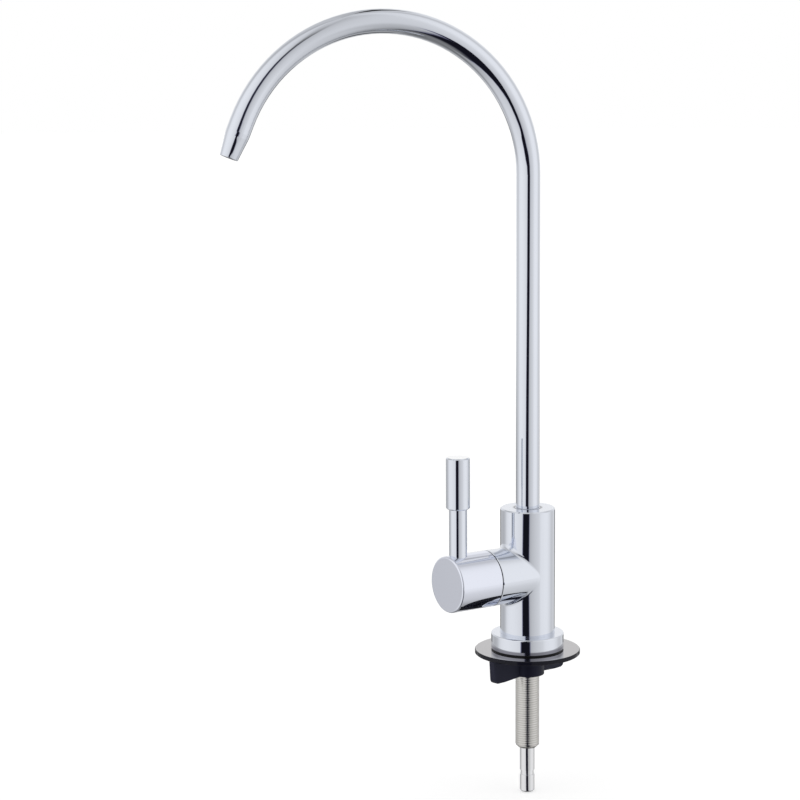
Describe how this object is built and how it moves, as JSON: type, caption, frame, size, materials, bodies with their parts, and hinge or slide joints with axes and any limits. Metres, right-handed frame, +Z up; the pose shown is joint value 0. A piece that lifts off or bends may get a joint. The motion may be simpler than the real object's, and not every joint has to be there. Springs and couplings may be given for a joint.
{
  "type": "kitchen faucet",
  "caption": "Slim chrome gooseneck drinking-water faucet: swivel spout, quarter-turn side lever, threaded deck shank with wing nut.",
  "frame": {"origin": "on the shank's axis at the underside of the seat ring, where the deck's top face lies", "axes": "+Z up along the shank and the riser; -Y along the valve's axis, out of the handle's end; the spout rests turned 15.6 degrees from -Y towards -X, as pictured"},
  "size_m": [0.0607, 0.1487, 0.334],
  "materials": {
    "body_chrome": "polished chrome plate on brass",
    "spout_chrome": "polished chrome plate on steel tube",
    "handle_chrome": "polished chrome plate",
    "lever_chrome": "polished chrome plate",
    "stem_chrome": "polished chrome plate",
    "shank_steel": "satin stainless steel, fine thread",
    "spring_steel": "bright spring steel",
    "turned_brass": "turned brass",
    "black_rubber": "smooth black rubber",
    "valve_ceramic": "ground white ceramic",
    "white_nylon": "plain white nylon",
    "black_gloss": "glossy black",
    "black_plastic": "moulded black plastic, fine texture"
  },
  "bodies": {
    "faucet_body": {"valve_body": "body_chrome", "base_ring": "body_chrome", "seat_ring": "black_rubber", "shank": "shank_steel", "inlet_stem": "stem_chrome", "stem_gasket": "black_rubber", "cartridge_housing": "turned_brass", "housing_o_ring": "black_rubber", "disc_seal": "black_rubber", "fixed_disc": "valve_ceramic"},
    "spout": {"spout_tube": "spout_chrome", "spout_end_fitting": "turned_brass", "spout_o_ring_upper": "black_rubber", "spout_o_ring_lower": "black_rubber", "spout_retaining_ring": "spring_steel"},
    "handle": {"handle_barrel": "handle_chrome", "lever_stem": "lever_chrome", "lever_grip": "lever_chrome", "spindle": "turned_brass", "spindle_o_rings": "black_rubber", "thrust_washer": "white_nylon", "spindle_circlip": "spring_steel", "moving_disc": "valve_ceramic"},
    "deck_washer": {"backing_washer": "black_gloss"},
    "deck_nut": {"wing_nut": "black_plastic"}
  },
  "joints": [
    {"name": "spout_swivel", "type": "hinge", "parent": "faucet_body", "child": "spout", "pos_m": [0, 0, 0.0614], "axis": [0, 0, 1], "continuous": true},
    {"name": "handle_turn", "type": "hinge", "parent": "faucet_body", "child": "handle", "pos_m": [0, -0.0359, 0.0333], "axis": [0, -1, 0], "range_deg": [0, 90]},
    {"name": "washer_slide", "type": "slide", "parent": "faucet_body", "child": "deck_washer", "axis": [0, 0, -1], "range_m": [0, 0.03]},
    {"name": "nut_spin", "type": "hinge", "parent": "deck_washer", "child": "deck_nut", "pos_m": [0, 0, -0.006], "axis": [0, 0, -1], "range_deg": [0, 10800]}
  ],
  "couplings": [
    {"joint": "washer_slide", "follows": "nut_spin", "m_per_rad": 0.00015915}
  ]
}
